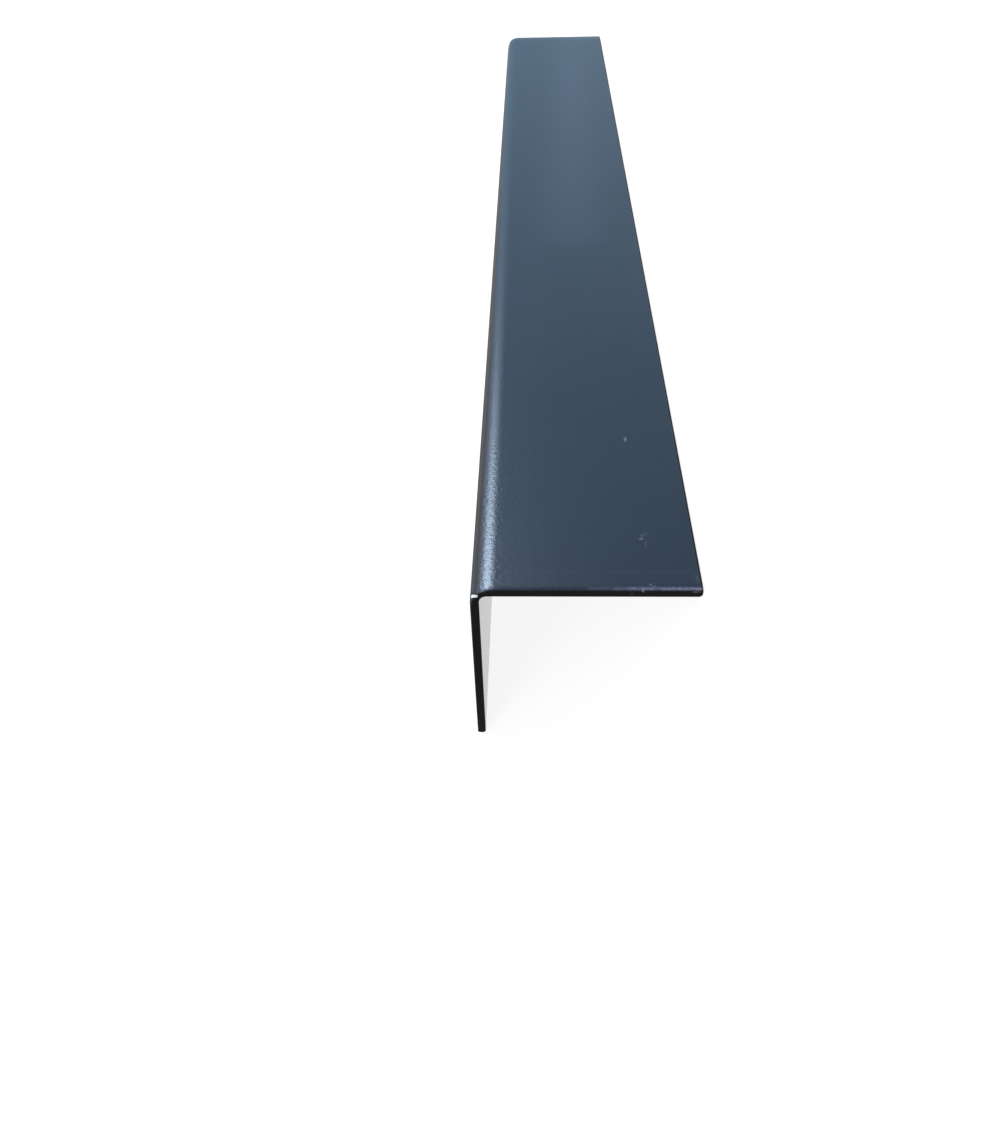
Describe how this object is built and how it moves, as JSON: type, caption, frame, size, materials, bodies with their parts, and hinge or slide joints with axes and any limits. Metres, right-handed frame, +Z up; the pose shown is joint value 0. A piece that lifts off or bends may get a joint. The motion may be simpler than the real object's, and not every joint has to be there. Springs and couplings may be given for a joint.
{
  "type": "metal angle section",
  "caption": "Equal-leg angle section press-folded from sheet steel, with a rounded outside corner and a dark slate powder coat, for edging, corner protection and bracing.",
  "frame": {"origin": "on the floor, plumb below the outside corner, halfway along the length", "axes": "+Y along the length, away from the near cut end; +Z up, through the corner of the fold; +X towards the right leg"},
  "size_m": [0.0982, 0.6, 0.0483],
  "materials": {
    "powder_coated_steel": "satin slate-blue powder coat with a fine orange-peel texture over steel sheet"
  },
  "bodies": {
    "root": {"angle_section": "powder_coated_steel"}
  },
  "joints": []
}
